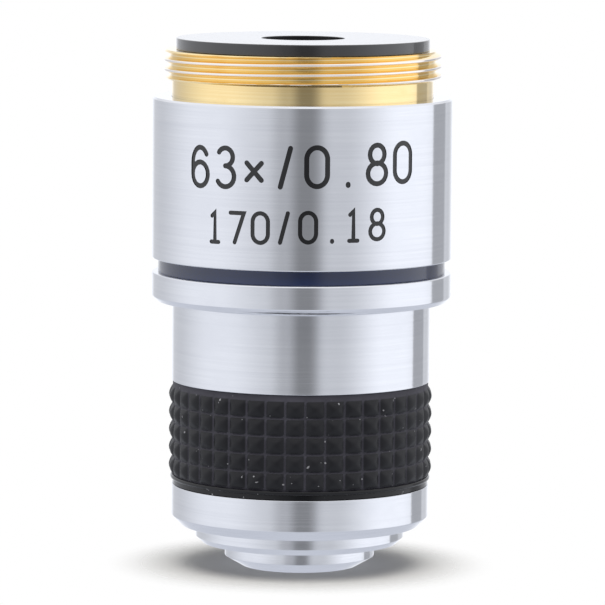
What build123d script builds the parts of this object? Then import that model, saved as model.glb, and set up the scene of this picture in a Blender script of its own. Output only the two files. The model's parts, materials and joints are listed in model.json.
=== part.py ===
# Dry microscope objective of high power, with a sprung lens nose that gives way if it meets the slide.
# Millimetres. The origin is the centre of the mounting shoulder, +Z points out of the mounting thread,
# and the objective hangs below the shoulder, so its heights there are negative.

import math
import os

from build123d import *

os.makedirs("parts", exist_ok=True)

# Clearances on the radius
seat_clearance = 0.02
running_clearance = 0.03
nose_clearance = 0.04
guide_clearance = 0.05

# Mounting thread, its relief groove and its spigot inside the sleeve
thread_diameter = 20.25
thread_length = 2.12
thread_chamfer = 0.22
relief_depth = 0.625
relief_length = 1.30
mount_spigot_length = 6.0
mount_wall = 1.13

# Black rear stop and the threaded ring under it
stop_rim_width = 0.865
stop_thickness = 0.84
stop_edge_chamfer = 0.08
stop_web_thickness = 0.55
aperture_diameter = 6.07
plug_length = 1.62
retainer_thickness = 1.50
retainer_width = 2.35
spanner_notch_width = 1.2
spanner_notch_depth = 0.5

# Outside of the body
sleeve_wall = 1.39
sleeve_length = 11.72
sleeve_top_chamfer = 0.15
sleeve_bottom_chamfer = 0.12
colour_ring_recess_depth = 0.46
colour_ring_height = 1.02
flange_width = 1.505
flange_thickness = 2.09
flange_top_chamfer = 0.12
flange_bottom_chamfer = 0.36
flange_root_fillet = 0.20
barrel_length = 5.88
spigot_gap = 0.20

# Knurled grip
grip_seat_depth = 0.505
grip_wall = 0.41
grip_pyramid_height = 0.28
grip_margin_height = 0.39
grip_row_height = 1.30
grip_rows = 5
grip_columns = 41
grip_bead_width = 0.16
grip_bead_height = 0.34
grip_bead_bevel = 0.11
grip_foot_height = 0.36

# Front cap
cap_wall = 0.72
cap_chamfer = 0.70
cap_lip_thickness = 1.29
cap_lip_recess_height = 0.30
cap_spigot_step = 0.25
cap_spigot_wall = 0.67
cap_spigot_length = 1.30
cap_spigot_gap = 0.10

# Sliding lens tube
lip_catch_width = 0.325
nose_projection_height = 1.29
nose_chamfer = 0.45
nose_travel = 2.0
stop_clearance = 0.10
spring_shoulder_width = 1.20
spring_space_height = 11.0
neck_wall = 1.15
cell_seat_width = 0.98
cell_seat_height = 2.18

# Guide screw and the slot that it runs in
screw_height = 3.90
screw_diameter = 1.60
screw_point_diameter = 1.10
screw_point_length = 0.73
screw_slot_width = 0.25
screw_slot_depth = 0.30
screw_sink_depth = 0.10
guide_slot_depth = 0.90

# Return spring
spring_wire_diameter = 0.80
spring_wire_sides = 8
spring_turns = 5

# Front cell and its lens
tip_shoulder_width = 0.865
tip_projection_height = 1.75
tip_bevel_width = 1.265
tip_bevel_height = 0.72
tip_spigot_length = 1.98
tip_spigot_wall = 1.0
front_lens_radius = 1.30
front_lens_rim_height = 0.35
front_lens_lip_height = 0.12
front_lens_lip_width = 0.20
front_pocket_depth = 0.75

# Lens cells, from the front to the rear
meniscus_cell_height = 3.0
front_spacer_height = 3.0
middle_cell_height = 5.0
rear_spacer_height = 6.0
rear_cell_height = 5.0
lock_ring_height = 2.0
ring_wall = 0.9
cell_lip_height = 0.70
lens_land_width = 0.25
meniscus_radius = 2.6
meniscus_edge_thickness = 0.8
meniscus_front_depth = 0.25
meniscus_rear_height = 0.90
doublet_cell_wall = 1.98
doublet_edge_thickness = 2.5
doublet_front_height = 0.6
doublet_rear_depth = 0.2
crown_thickness = 1.7
crown_edge_thickness = 0.3
cement_gap = 0.01

# Radii, from the thread outwards to the body and inwards to the lens cells
thread_radius = thread_diameter / 2
relief_radius = thread_radius - relief_depth
sleeve_bore_radius = relief_radius + seat_clearance
body_radius = sleeve_bore_radius + sleeve_wall
colour_ring_radius = body_radius - colour_ring_recess_depth
barrel_radius = body_radius - flange_width
plug_bore_radius = relief_radius - mount_wall
plug_radius = plug_bore_radius - seat_clearance
stop_radius = plug_radius + stop_rim_width
retainer_bore_radius = plug_radius - retainer_width
aperture_radius = aperture_diameter / 2
grip_seat_radius = barrel_radius - grip_seat_depth
grip_bore_radius = grip_seat_radius + seat_clearance
grip_land_radius = grip_bore_radius + grip_wall
grip_tip_radius = grip_land_radius + grip_pyramid_height
cap_spigot_radius = grip_seat_radius - cap_spigot_step
cap_bore_radius = cap_spigot_radius + seat_clearance
cap_radius = cap_bore_radius + cap_wall
slide_bore_radius = cap_spigot_radius - cap_spigot_wall
tube_radius = slide_bore_radius - running_clearance
nose_radius = tube_radius - lip_catch_width
neck_radius = tube_radius - spring_shoulder_width
cell_bore_radius = neck_radius - neck_wall
cell_radius = cell_bore_radius - seat_clearance
ring_bore_radius = cell_radius - ring_wall
doublet_radius = cell_radius - doublet_cell_wall
cement_rise = crown_thickness - doublet_front_height - crown_edge_thickness
cement_face_radius = (doublet_radius**2 + cement_rise**2) / (2 * cement_rise)
front_cell_bore_radius = cell_bore_radius - cell_seat_width
tip_spigot_radius = front_cell_bore_radius - seat_clearance
tip_radius = tip_spigot_radius + tip_shoulder_width

# Heights, from the mounting shoulder up and down
thread_bottom = relief_length
thread_top = thread_bottom + thread_length
stop_top = thread_top + stop_thickness
plug_bottom = thread_top - plug_length
retainer_bottom = plug_bottom - retainer_thickness
sleeve_bottom = -sleeve_length
flange_top = sleeve_bottom - colour_ring_height
flange_bottom = flange_top - flange_thickness
barrel_bottom = flange_bottom - barrel_length
grip_rows_top = barrel_bottom - grip_margin_height
grip_rows_bottom = grip_rows_top - grip_rows * grip_row_height
grip_foot_top = grip_rows_bottom - grip_bead_height
cap_top = grip_foot_top - grip_foot_height
cap_spigot_bottom = cap_top - cap_spigot_length
cap_bore_bottom = cap_spigot_bottom - cap_spigot_gap
lip_top = cap_bore_bottom - cap_lip_recess_height
cap_bottom = lip_top - cap_lip_thickness
nose_bottom = cap_bottom - nose_projection_height
tip_bottom = nose_bottom - tip_projection_height
spring_seat = retainer_bottom - spring_space_height
neck_top = retainer_bottom - nose_travel - stop_clearance
cell_seat = nose_bottom + cell_seat_height
front_spacer_bottom = cell_seat + meniscus_cell_height
middle_cell_bottom = front_spacer_bottom + front_spacer_height
rear_spacer_bottom = middle_cell_bottom + middle_cell_height
rear_cell_bottom = rear_spacer_bottom + rear_spacer_height
lock_ring_bottom = rear_cell_bottom + rear_cell_height
screw_level = barrel_bottom - screw_height


def turned(points):
    """Turns a closed outline of (radius, height) points about the Z axis, in the part being built."""
    with BuildSketch(Plane.XZ) as outline:
        with BuildLine():
            Polyline(points, close=True)
        make_face()
    revolve(outline.sketch, axis=Axis.Z)


def face_curve(land_height, land_radius, rise):
    """Draws a spherical lens face from the axis to its land; its centre stands a rise above the land."""
    sphere_radius = (land_radius**2 + rise**2) / abs(2 * rise)
    turn = math.degrees(math.asin(land_radius / sphere_radius))
    return JernArc((0, land_height + rise), (1, 0), sphere_radius, -math.copysign(turn, rise))


def turned_lens(radius, bottom, edge_thickness, front_rise, rear_rise):
    """Turns a lens with a flat land round each face, in the part being built."""
    land_radius = radius - lens_land_width
    top = bottom + edge_thickness
    with BuildSketch(Plane.XZ) as outline:
        with BuildLine():
            front = face_curve(bottom, land_radius, front_rise)
            rear = face_curve(top, land_radius, rear_rise)
            Polyline(front @ 1, (radius, bottom), (radius, top), rear @ 1)
            Line(front @ 0, rear @ 0)
        make_face()
    revolve(outline.sketch, axis=Axis.Z)


def turned_cell(bottom, height, radius, edge_thickness):
    """Turns a cell whose lips hold the flat lands of a lens, open to the rear in a cone."""
    lip_radius = radius - lens_land_width
    lens_bottom = bottom + cell_lip_height
    lens_top = lens_bottom + edge_thickness
    turned([
        (lip_radius, bottom),
        (cell_radius, bottom),
        (cell_radius, bottom + height),
        (ring_bore_radius, bottom + height),
        (lip_radius, lens_top + cell_lip_height / 2),
        (lip_radius, lens_top),
        (radius + seat_clearance, lens_top),
        (radius + seat_clearance, lens_bottom),
        (lip_radius, lens_bottom),
    ])


def cement_sphere(lens_bottom, radius, mode):
    """Keeps or takes away the ball whose surface is the cemented face of a doublet."""
    with Locations((0, 0, lens_bottom - doublet_front_height + crown_thickness - cement_face_radius)):
        Sphere(radius, mode=mode)


def plain_ring(bottom, height):
    """Turns a plain ring that fills the cell bore, in the part being built."""
    turned([
        (ring_bore_radius, bottom),
        (cell_radius, bottom),
        (cell_radius, bottom + height),
        (ring_bore_radius, bottom + height),
    ])


# Brass mount with the thread, its relief and the spigot that the sleeve fits over
with BuildPart() as thread_mount:
    turned([
        (slide_bore_radius, -mount_spigot_length),
        (relief_radius, -mount_spigot_length),
        (relief_radius, thread_bottom),
        (thread_radius - thread_chamfer, thread_bottom),
        (thread_radius, thread_bottom + thread_chamfer),
        (thread_radius, thread_top - thread_chamfer),
        (thread_radius - thread_chamfer, thread_top),
        (plug_bore_radius, thread_top),
        (plug_bore_radius, retainer_bottom),
        (slide_bore_radius, retainer_bottom),
    ])
thread_mount.part.label = "thread_mount"
export_step(thread_mount.part, "parts/thread_mount.step")

# Black rear stop, a shallow cap whose plug screws into the mount
with BuildPart() as rear_stop:
    turned([
        (aperture_radius, stop_top),
        (stop_radius - stop_edge_chamfer, stop_top),
        (stop_radius, stop_top - stop_edge_chamfer),
        (stop_radius, thread_top),
        (plug_radius, thread_top),
        (plug_radius, plug_bottom),
        (retainer_bore_radius, plug_bottom),
        (retainer_bore_radius, stop_top - stop_web_thickness),
        (aperture_radius, stop_top - stop_web_thickness),
    ])
rear_stop.part.label = "rear_stop"
export_step(rear_stop.part, "parts/rear_stop.step")

# Threaded ring that holds the spring in, with two notches for a pin spanner
with BuildPart() as spring_retainer:
    turned([
        (retainer_bore_radius, retainer_bottom),
        (plug_radius, retainer_bottom),
        (plug_radius, plug_bottom),
        (retainer_bore_radius, plug_bottom),
    ])
    with BuildSketch(Plane.XY.offset(plug_bottom)):
        Rectangle(thread_diameter, spanner_notch_width)
    extrude(amount=-spanner_notch_depth, mode=Mode.SUBTRACT)
spring_retainer.part.label = "spring_retainer"
export_step(spring_retainer.part, "parts/spring_retainer.step")

# Upper sleeve, the plain chromed tube that carries the marking
with BuildPart() as upper_sleeve:
    turned([
        (sleeve_bore_radius, 0),
        (body_radius - sleeve_top_chamfer, 0),
        (body_radius, -sleeve_top_chamfer),
        (body_radius, sleeve_bottom + sleeve_bottom_chamfer),
        (body_radius - sleeve_bottom_chamfer, sleeve_bottom),
        (sleeve_bore_radius, sleeve_bottom),
    ])
upper_sleeve.part.label = "upper_sleeve"
export_step(upper_sleeve.part, "parts/upper_sleeve.step")

# Coloured ring that codes the magnification
with BuildPart() as colour_ring:
    turned([
        (sleeve_bore_radius, sleeve_bottom),
        (colour_ring_radius, sleeve_bottom),
        (colour_ring_radius, flange_top),
        (sleeve_bore_radius, flange_top),
    ])
colour_ring.part.label = "colour_ring"
export_step(colour_ring.part, "parts/colour_ring.step")

# Lower barrel: spigot into the sleeve, flange, barrel, seat under the grip and spigot for the cap
with BuildPart() as lower_barrel:
    turned([
        (slide_bore_radius, -mount_spigot_length - spigot_gap),
        (relief_radius, -mount_spigot_length - spigot_gap),
        (relief_radius, flange_top),
        (body_radius, flange_top),
        (body_radius, flange_bottom),
        (barrel_radius, flange_bottom),
        (barrel_radius, barrel_bottom),
        (grip_seat_radius, barrel_bottom),
        (grip_seat_radius, cap_top),
        (cap_spigot_radius, cap_top),
        (cap_spigot_radius, cap_spigot_bottom),
        (slide_bore_radius, cap_spigot_bottom),
    ])
    flange_rims = lower_barrel.edges().filter_by(GeomType.CIRCLE)
    flange_rims = flange_rims.filter_by(lambda edge: math.isclose(edge.radius, body_radius))
    chamfer(flange_rims.sort_by(Axis.Z)[-1], flange_top_chamfer)
    chamfer(flange_rims.sort_by(Axis.Z)[0], flange_bottom_chamfer)
    barrel_rims = lower_barrel.edges().filter_by(GeomType.CIRCLE)
    barrel_rims = barrel_rims.filter_by(lambda edge: math.isclose(edge.radius, barrel_radius))
    fillet(barrel_rims.sort_by(Axis.Z)[-1], flange_root_fillet)
    with BuildSketch(Plane.XZ):
        with Locations((0, screw_level)):
            Circle(screw_diameter / 2 + seat_clearance)
    extrude(amount=body_radius, mode=Mode.SUBTRACT)
lower_barrel.part.label = "lower_barrel"
export_step(lower_barrel.part, "parts/lower_barrel.step")

# Grip ring: a stack of many-sided frusta, one flat for each column and two frusta for each row, is met by a
# prism with a V-shaped lobe for each column, and what both leave is a square grid of four-sided pyramids
column_step = 360 / grip_columns
with BuildPart() as grip_ring:
    for level in range(2 * grip_rows + 1):
        level_radius = grip_tip_radius if level % 2 else grip_land_radius
        with BuildSketch(Plane.XY.offset(grip_rows_bottom + level * grip_row_height / 2)):
            RegularPolygon(level_radius, grip_columns, major_radius=False, align=None)
    loft(ruled=True)
    lobe_outline = []
    for column in range(grip_columns):
        lobe_outline.append(Vector(grip_land_radius, 0).rotate(Axis.Z, column * column_step))
        lobe_outline.append(Vector(grip_tip_radius, 0).rotate(Axis.Z, (column + 0.5) * column_step))
    with BuildSketch(Plane.XY.offset(grip_rows_bottom)):
        with BuildLine():
            Polyline(lobe_outline, close=True)
        make_face()
    extrude(amount=grip_rows_top - grip_rows_bottom, mode=Mode.INTERSECT)
    with BuildSketch(Plane.XY.offset(grip_rows_bottom)):
        Circle(grip_bore_radius)
    extrude(amount=grip_rows_top - grip_rows_bottom, mode=Mode.SUBTRACT)
    # Plain margin above the rows
    turned([
        (grip_bore_radius, grip_rows_top),
        (grip_land_radius, grip_rows_top),
        (grip_land_radius, barrel_bottom),
        (grip_bore_radius, barrel_bottom),
    ])
    # Bevelled bead and plain foot below them
    turned([
        (grip_bore_radius, grip_rows_bottom),
        (grip_bore_radius, cap_top),
        (grip_land_radius, cap_top),
        (grip_land_radius, grip_foot_top),
        (grip_land_radius + grip_bead_width, grip_foot_top + grip_bead_bevel),
        (grip_land_radius + grip_bead_width, grip_rows_bottom - grip_bead_bevel),
        (grip_land_radius, grip_rows_bottom),
    ])
grip_ring.part.label = "grip_ring"
export_step(grip_ring.part, "parts/grip_ring.step")

# Front cap, screwed on the barrel; its lip holds the sliding tube in
with BuildPart() as front_cap:
    turned([
        (cap_bore_radius, cap_top),
        (cap_radius, cap_top),
        (cap_radius, cap_bottom + cap_chamfer),
        (cap_radius - cap_chamfer, cap_bottom),
        (nose_radius + nose_clearance, cap_bottom),
        (nose_radius + nose_clearance, lip_top),
        (slide_bore_radius, lip_top),
        (slide_bore_radius, cap_bore_bottom),
        (cap_bore_radius, cap_bore_bottom),
    ])
front_cap.part.label = "front_cap"
export_step(front_cap.part, "parts/front_cap.step")

# Guide screw in the barrel wall, hidden by the grip; its point runs in the tube's slot
screw_end = grip_seat_radius - screw_sink_depth
with BuildPart() as guide_screw:
    with BuildSketch(Plane.XZ.offset(slide_bore_radius)):
        with Locations((0, screw_level)):
            Circle(screw_diameter / 2)
    extrude(amount=screw_end - slide_bore_radius)
    with BuildSketch(Plane.XZ.offset(slide_bore_radius)):
        with Locations((0, screw_level)):
            Circle(screw_point_diameter / 2)
    extrude(amount=-screw_point_length)
    with BuildSketch(Plane.XZ.offset(screw_end)):
        with Locations((0, screw_level)):
            Rectangle(screw_slot_width, screw_diameter)
    extrude(amount=-screw_slot_depth, mode=Mode.SUBTRACT)
guide_screw.part.label = "guide_screw"
export_step(guide_screw.part, "parts/guide_screw.step")

# Sliding lens tube: nose ring, body with the guide slot, shoulder for the spring and thin neck
guide_slot_width = screw_point_diameter + 2 * guide_clearance
with BuildPart() as lens_tube:
    turned([
        (front_cell_bore_radius, nose_bottom),
        (nose_radius - nose_chamfer, nose_bottom),
        (nose_radius, nose_bottom + nose_chamfer),
        (nose_radius, lip_top),
        (tube_radius, lip_top),
        (tube_radius, spring_seat),
        (neck_radius, spring_seat),
        (neck_radius, neck_top),
        (cell_bore_radius, neck_top),
        (cell_bore_radius, cell_seat),
        (front_cell_bore_radius, cell_seat),
    ])
    # The slot runs from the screw's place at rest down to its place when the nose is pushed in
    with BuildSketch(Plane.XZ.offset(tube_radius - guide_slot_depth)):
        with Locations((0, screw_level - nose_travel / 2)):
            SlotCenterToCenter(nose_travel, guide_slot_width, rotation=90)
    extrude(amount=tube_radius, mode=Mode.SUBTRACT)
lens_tube.part.label = "lens_tube"
export_step(lens_tube.part, "parts/lens_tube.step")

# Return spring, in the middle of the ring-shaped space between the neck and the barrel's bore; its round
# wire is swept with eight sides
spring_radius = (neck_radius + slide_bore_radius) / 2
coil_height = spring_space_height - spring_wire_diameter
with BuildPart() as return_spring:
    with BuildLine():
        coil_line = Helix(
            pitch=coil_height / spring_turns,
            height=coil_height,
            radius=spring_radius,
            center=(0, 0, spring_seat + spring_wire_diameter / 2),
        )
    with BuildSketch(Plane(origin=coil_line @ 0, z_dir=coil_line % 0)):
        RegularPolygon(spring_wire_diameter / 2, spring_wire_sides)
    sweep(is_frenet=True)
return_spring.part.label = "return_spring"
export_step(return_spring.part, "parts/return_spring.step")

# Front cell, the bevelled tip of the nose, screwed into the tube with the front lens at its point
pocket_bottom = tip_bottom + front_lens_lip_height
pocket_top = pocket_bottom + front_pocket_depth
spigot_top = nose_bottom + tip_spigot_length
with BuildPart() as front_cell:
    turned([
        (front_lens_radius - front_lens_lip_width, tip_bottom),
        (tip_radius - tip_bevel_width, tip_bottom),
        (tip_radius, tip_bottom + tip_bevel_height),
        (tip_radius, nose_bottom),
        (tip_spigot_radius, nose_bottom),
        (tip_spigot_radius, spigot_top),
        (tip_spigot_radius - tip_spigot_wall, spigot_top),
        (front_lens_radius + seat_clearance, pocket_top),
        (front_lens_radius + seat_clearance, pocket_bottom),
        (front_lens_radius - front_lens_lip_width, pocket_bottom),
    ])
front_cell.part.label = "front_cell"
export_step(front_cell.part, "parts/front_cell.step")

# Front lens, a flat face with a full hemisphere behind it
dome_centre = pocket_bottom + front_lens_rim_height
with BuildPart() as front_lens:
    with BuildSketch(Plane.XZ):
        with BuildLine():
            Polyline(
                (0, dome_centre + front_lens_radius),
                (0, pocket_bottom),
                (front_lens_radius, pocket_bottom),
                (front_lens_radius, dome_centre),
            )
            CenterArc((0, dome_centre), front_lens_radius, 0, 90)
        make_face()
    revolve(axis=Axis.Z)
front_lens.part.label = "front_lens"
export_step(front_lens.part, "parts/front_lens.step")

# Meniscus lens in the cell that sits on the tube's inner seat
with BuildPart() as meniscus_cell:
    turned_cell(cell_seat, meniscus_cell_height, meniscus_radius, meniscus_edge_thickness)
meniscus_cell.part.label = "meniscus_cell"
export_step(meniscus_cell.part, "parts/meniscus_cell.step")

with BuildPart() as meniscus_lens:
    turned_lens(
        meniscus_radius,
        cell_seat + cell_lip_height,
        meniscus_edge_thickness,
        meniscus_front_depth,
        meniscus_rear_height,
    )
meniscus_lens.part.label = "meniscus_lens"
export_step(meniscus_lens.part, "parts/meniscus_lens.step")

# Spacers that set the distances between the three cells
with BuildPart() as front_spacer:
    plain_ring(front_spacer_bottom, front_spacer_height)
front_spacer.part.label = "front_spacer"
export_step(front_spacer.part, "parts/front_spacer.step")

with BuildPart() as rear_spacer:
    plain_ring(rear_spacer_bottom, rear_spacer_height)
rear_spacer.part.label = "rear_spacer"
export_step(rear_spacer.part, "parts/rear_spacer.step")

# Two cemented doublets, each a crown and a flint lens in one cell
doublet_places = {
    "middle": (middle_cell_bottom, middle_cell_height),
    "rear": (rear_cell_bottom, rear_cell_height),
}
for place, (cell_bottom, cell_height) in doublet_places.items():
    doublet_bottom = cell_bottom + cell_lip_height
    doublet_shape = (
        doublet_radius,
        doublet_bottom,
        doublet_edge_thickness,
        -doublet_front_height,
        -doublet_rear_depth,
    )

    with BuildPart() as doublet_cell:
        turned_cell(cell_bottom, cell_height, doublet_radius, doublet_edge_thickness)
    doublet_cell.part.label = f"{place}_cell"
    export_step(doublet_cell.part, f"parts/{place}_cell.step")

    with BuildPart() as crown_lens:
        turned_lens(*doublet_shape)
        cement_sphere(doublet_bottom, cement_face_radius, Mode.INTERSECT)
    crown_lens.part.label = f"{place}_crown_lens"
    export_step(crown_lens.part, f"parts/{place}_crown_lens.step")

    with BuildPart() as flint_lens:
        turned_lens(*doublet_shape)
        cement_sphere(doublet_bottom, cement_face_radius + cement_gap, Mode.SUBTRACT)
    flint_lens.part.label = f"{place}_flint_lens"
    export_step(flint_lens.part, f"parts/{place}_flint_lens.step")

# Threaded ring that locks the whole stack of cells, notched like the spring retainer
with BuildPart() as cell_lock_ring:
    plain_ring(lock_ring_bottom, lock_ring_height)
    with BuildSketch(Plane.XY.offset(lock_ring_bottom + lock_ring_height)):
        Rectangle(thread_diameter, spanner_notch_width)
    extrude(amount=-spanner_notch_depth, mode=Mode.SUBTRACT)
cell_lock_ring.part.label = "cell_lock_ring"
export_step(cell_lock_ring.part, "parts/cell_lock_ring.step")
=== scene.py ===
import json
import math

import bpy
from mathutils import Euler, Matrix, Vector
from mathutils.geometry import delaunay_2d_cdt


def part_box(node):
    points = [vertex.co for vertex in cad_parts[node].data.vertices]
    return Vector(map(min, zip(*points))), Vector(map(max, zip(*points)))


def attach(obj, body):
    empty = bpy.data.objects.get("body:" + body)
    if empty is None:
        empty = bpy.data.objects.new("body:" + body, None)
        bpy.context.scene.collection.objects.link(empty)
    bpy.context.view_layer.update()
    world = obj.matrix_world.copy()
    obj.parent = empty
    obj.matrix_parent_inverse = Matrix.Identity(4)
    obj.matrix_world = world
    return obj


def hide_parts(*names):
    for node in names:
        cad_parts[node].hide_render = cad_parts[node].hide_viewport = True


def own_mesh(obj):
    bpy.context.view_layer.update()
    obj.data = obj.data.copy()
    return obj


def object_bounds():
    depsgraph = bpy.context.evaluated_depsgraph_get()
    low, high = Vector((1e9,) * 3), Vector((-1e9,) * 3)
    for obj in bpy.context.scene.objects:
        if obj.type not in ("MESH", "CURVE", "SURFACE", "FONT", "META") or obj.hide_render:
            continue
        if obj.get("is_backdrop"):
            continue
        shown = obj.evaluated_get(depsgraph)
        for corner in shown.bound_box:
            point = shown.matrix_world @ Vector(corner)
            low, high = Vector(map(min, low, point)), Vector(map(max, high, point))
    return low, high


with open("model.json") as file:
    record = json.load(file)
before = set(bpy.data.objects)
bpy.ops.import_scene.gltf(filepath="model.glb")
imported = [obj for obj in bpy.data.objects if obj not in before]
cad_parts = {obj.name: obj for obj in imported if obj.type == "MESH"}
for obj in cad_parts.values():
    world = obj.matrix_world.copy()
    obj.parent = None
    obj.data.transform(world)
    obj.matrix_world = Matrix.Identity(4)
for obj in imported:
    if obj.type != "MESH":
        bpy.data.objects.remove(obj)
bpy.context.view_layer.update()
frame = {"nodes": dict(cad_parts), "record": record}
scene = bpy.context.scene
nodes = frame["nodes"]
MM = 0.001
MICRON = 0.000001
WHITE = (1, 1, 1, 1)

# Camera, solved from the round edges of the photo, in millimetres from the mounting shoulder
CAMERA_PLACE = (0.10, -359.0, 23.95)
CAMERA_PITCH_DEG = -6.20
CAMERA_ROLL_DEG = 0.438
CAMERA_LENS = 294.4
CAMERA_SENSOR = 36.0
CAMERA_NEAREST = 0.01
CAMERA_FARTHEST = 20

# Studio that polished metal mirrors, in degrees round the object: 0 towards the camera, positive to its
# right. A panel is (name, direction, half width, soft edge, brightness) and stands in front of those
# above it. The ceiling and the floor fade in between two slopes, 0 level and 1 straight up or down.
WALL_LEVEL = 0.72
STUDIO_PANELS = [
    ("white wall behind", 180, 10, 16, 1.10),
    ("left softbox", -78, 8, 56, 1.06),
    ("right softbox", 92, 12, 48, 1.25),
    ("grey stand round the camera", -2, 12, 14, 0.52),
    ("dark camera", 3, 3, 13, 0.25),
    ("black flag at the right", 131.3, 10.2, 2, 0.48),
]
WALL_TINT = (0.98, 1.0, 1.05)
CEILING_COLOR = (1.10, 1.10, 1.12)
CEILING_FROM = 0.10
CEILING_FULL = 0.60
FLOOR_COLOR = (0.72, 0.75, 0.83)
FLOOR_FROM = 0.14
FLOOR_FULL = 0.50
ROOM_LEVEL = 0.30

# Softbox over the camera and the ground, in metres
SOFTBOX_PLACE = (0.0, -0.20, 0.46)
SOFTBOX_SIZE = 0.44
SOFTBOX_POWER = 2.0
GROUND_RADIUS = 0.05
GROUND_CLEAR_FROM = 0.007
GROUND_CLEAR_TO = 0.0145
GROUND_MIRRORED_CLEAR = 0.96
GROUND_COLOR = (0.80, 0.80, 0.80)
# Grey paper that only the camera sees near the object: a painted shadow, fading out between the two clearing
# radii
GROUND_PAINTED_SHADOW_COLOR = (0.66, 0.645, 0.61)

# Fineness of round shapes, and the common rounding of an edge, in millimetres
TURN_STEPS = 180
ARC_STEPS = 4
CREASE_DEG = 38
EDGE = 0.05

# Thread of the mount: 36 turns to the inch; the front crest is its height where the camera sees it
THREAD_PITCH = 25.4 / 36
THREAD_DEPTH = 0.475
THREAD_CHAMFER = 0.22
THREAD_FRONT_CREST = 1.43
THREAD_LENGTH = 2.12
THREAD_LAND_SHARE = 0.08
THREAD_COLUMNS = 540
THREAD_ROWS = 84

# Mount, stop, sleeve and colour ring, in millimetres
RELIEF_RADIUS = 9.50
PLUG_BORE_RADIUS = 8.37
SLIDE_BORE_RADIUS = 7.98
RETAINER_BOTTOM = 0.30
STOP_HOLE_RADIUS = 3.035
STOP_HOLLOW_RADIUS = 6.0
STOP_PLUG_RADIUS = 8.35
STOP_WEB = 0.55
STOP_LIP = 0.84
SLEEVE_BORE_RADIUS = 9.52
SLEEVE_ROUNDING = 0.10
SLEEVE_BEVEL = 0.14

# Barrel, cap and tip, in millimetres
BARREL_RADIUS = 9.405
FLANGE_BOTTOM = -14.83
FLANGE_BEVEL = 0.36
GRIP_SEAT_RADIUS = 8.90
CAP_SEAT_RADIUS = 8.65
CAP_BORE_RADIUS = 8.67
CAP_HOLE_RADIUS = 7.665
CAP_LEDGE = -29.70
CAP_FLOOR = -30.00
CAP_BEVEL = 0.70
TIP_HOLE_RADIUS = 1.10
TIP_LIP = 0.12
TIP_BEVEL_WIDTH = 1.265
TIP_BEVEL_HEIGHT = 0.72
TIP_SPIGOT_RADIUS = 4.60
TIP_FUNNEL_RADIUS = 3.60
FRONT_LENS_BORE_RADIUS = 1.32
FRONT_LENS_BORE_TOP = 0.87

# Knurled grip, in millimetres; a roundness over 1 swells the sides of the pyramids
GRIP_COLUMNS = 41
GRIP_ROWS = 5
GRIP_CELL_STEPS = 8
GRIP_LAND_RADIUS = 9.33
GRIP_BORE_RADIUS = 8.92
GRIP_BUMP = 0.28
GRIP_ROUNDNESS = 1.7
GRIP_ROW_HEIGHT = 1.30
GRIP_KNURL_BOTTOM = -27.60
GRIP_BEAD_HEIGHT = 0.34
GRIP_BEAD_WIDTH = 0.16
GRIP_BEAD_STEPS = 10

# Return spring, in millimetres: a round wire between the neck of the lens tube and the barrel
SPRING_COIL_RADIUS = 7.365
SPRING_WIRE_RADIUS = 0.40
SPRING_TURNS = 5.0
SPRING_BOTTOM = -10.30
SPRING_TOP = -0.10
SPRING_STEPS = 360
SPRING_WIRE_STEPS = 20

# Marking on the front of the sleeve, in millimetres, and the first place and pitch in degrees round from
# the front; the lines rise a little to the right
MARKING_DEPTH = 0.05
MARKING_RISE = 0.026
MARKING_LINES = [
    {"text": "63x/0.80", "bottom": -5.84, "height": 3.11, "stroke": 0.36, "first": -41.6, "pitch": 11.8},
    {"text": "170/0.18", "bottom": -9.76, "height": 2.40, "stroke": 0.30, "first": -33.6, "pitch": 9.0},
]
MARKED_STEPS = TURN_STEPS // 6
CHARACTER_WIDTH = 0.58
CAP_STEPS = 6
FRONT_DEG = 270


class Tree:
    """A node tree that is written one node a line."""

    def __init__(self, tree):
        self.tree = tree
        self.tree.nodes.clear()

    def add(self, kind, settings=None, inputs=None):
        """Adds a node; inputs are keyed by socket name or number, a value may be another node's output."""
        node = self.tree.nodes.new(kind)
        for key, value in (settings or {}).items():
            setattr(node, key, value)
        for key, value in (inputs or {}).items():
            if isinstance(value, bpy.types.NodeSocket):
                self.tree.links.new(value, node.inputs[key])
            else:
                node.inputs[key].default_value = value
        return node

    def math(self, operation, *values):
        """Adds a Math node and returns its value."""
        return self.add("ShaderNodeMath", {"operation": operation}, dict(enumerate(values))).outputs[0]

    def vector_math(self, operation, *values, output=0):
        """Adds a Vector Math node and returns one of its values."""
        node = self.add("ShaderNodeVectorMath", {"operation": operation}, dict(enumerate(values)))
        return node.outputs[output]

    def share(self, value, low, high, smooth=False):
        """Gives a share that goes from 0 to 1 as the value goes from low to high."""
        kind = {"interpolation_type": "SMOOTHSTEP" if smooth else "LINEAR"}
        node = self.add("ShaderNodeMapRange", kind, {"Value": value, "From Min": low, "From Max": high})
        return node.outputs[0]

    def between(self, share, low, high):
        """Maps a share from 0 to 1 onto a range."""
        node = self.add("ShaderNodeMapRange", None, {"Value": share, "To Min": low, "To Max": high})
        return node.outputs[0]

    def mix(self, share, first, second):
        """Mixes two numbers."""
        return self.add("ShaderNodeMix", None, {0: share, 2: first, 3: second}).outputs[0]

    def mix_color(self, share, first, second):
        """Mixes two colours; each is three numbers or another node's output."""
        first, second = [(*color, 1) if isinstance(color, tuple) else color for color in (first, second)]
        return self.add("ShaderNodeMix", {"data_type": "RGBA"}, {0: share, 6: first, 7: second}).outputs[2]

    def mix_shader(self, share, first, second):
        """Mixes two shaders."""
        return self.add("ShaderNodeMixShader", None, {0: share, 1: first, 2: second}).outputs[0]


# Camera, studio and ground


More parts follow.
